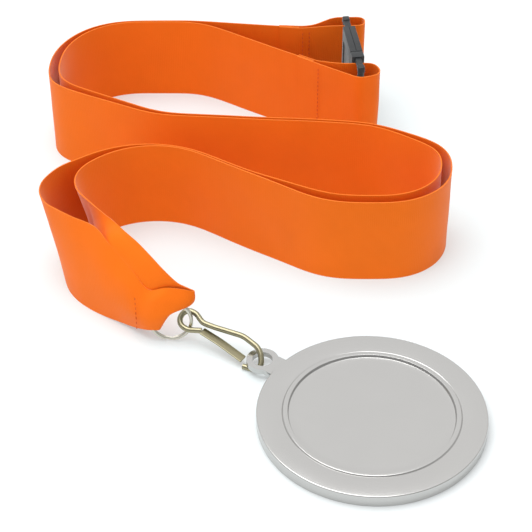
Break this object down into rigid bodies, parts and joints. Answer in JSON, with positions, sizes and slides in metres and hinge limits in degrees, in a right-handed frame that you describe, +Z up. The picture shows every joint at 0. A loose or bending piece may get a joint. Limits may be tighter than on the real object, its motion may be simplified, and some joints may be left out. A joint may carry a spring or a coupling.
{
  "type": "medal with ribbon lanyard",
  "caption": "Round award medal with a recessed centre on a satin ribbon lanyard, joined by a snap hook and split ring, with a breakaway safety buckle.",
  "frame": {"origin": "centre of the medal's back face, on the table", "axes": "+Z up out of the medal's face; the medal's eye, hook and ribbon lie towards -X and +Y"},
  "size_m": [0.1463, 0.2232, 0.034],
  "materials": {
    "plated_medal": "bright nickel plate, lightly satin",
    "hook_steel": "warm nickel-plated spring steel",
    "ring_steel": "polished nickel plate",
    "satin_ribbon": "orange polyester satin",
    "sewing_thread": "orange polyester thread",
    "buckle_plastic": "moulded black acetal"
  },
  "bodies": {
    "lanyard": {"ring_end_fold": "satin_ribbon", "ring_end_stitching": "sewing_thread", "plug_side_ribbon": "satin_ribbon", "socket_side_ribbon": "satin_ribbon", "socket_side_loop": "satin_ribbon", "socket_loop_stitching": "sewing_thread", "buckle_socket": "buckle_plastic"},
    "plug": {"buckle_plug": "buckle_plastic", "plug_side_loop": "satin_ribbon", "plug_loop_stitching": "sewing_thread"},
    "ring": {"split_ring": "ring_steel"},
    "hook": {"snap_hook_wire": "hook_steel"},
    "gate": {"snap_hook_gate": "hook_steel"},
    "medal": {"medal_body": "plated_medal"}
  },
  "joints": [
    {"name": "buckle_release", "type": "slide", "parent": "lanyard", "child": "plug", "axis": [0.1149, -0.9934, 0], "range_m": [0, 0.017]},
    {"name": "ring_turn", "type": "hinge", "parent": "lanyard", "child": "ring", "pos_m": [-0.069, 0.0382, 0.0076], "axis": [0, 0, 1], "range_deg": [-7, 7]},
    {"name": "hook_swing", "type": "hinge", "parent": "ring", "child": "hook", "pos_m": [-0.0558, 0.0382, 0.0076], "axis": [0, 0, 1], "range_deg": [-10, 10]},
    {"name": "gate_flex", "type": "hinge", "parent": "hook", "child": "gate", "pos_m": [-0.0526, 0.03505, 0.00604], "axis": [-0.231, -0.6144, 0.7544], "range_deg": [0, 10], "stiffness_Nm_per_rad": 0.2, "springref_deg": -2.86},
    {"name": "medal_swing", "type": "hinge", "parent": "hook", "child": "medal", "pos_m": [-0.0331, 0.0239, 0.003], "axis": [0, 0, 1], "range_deg": [-15, 15]}
  ]
}
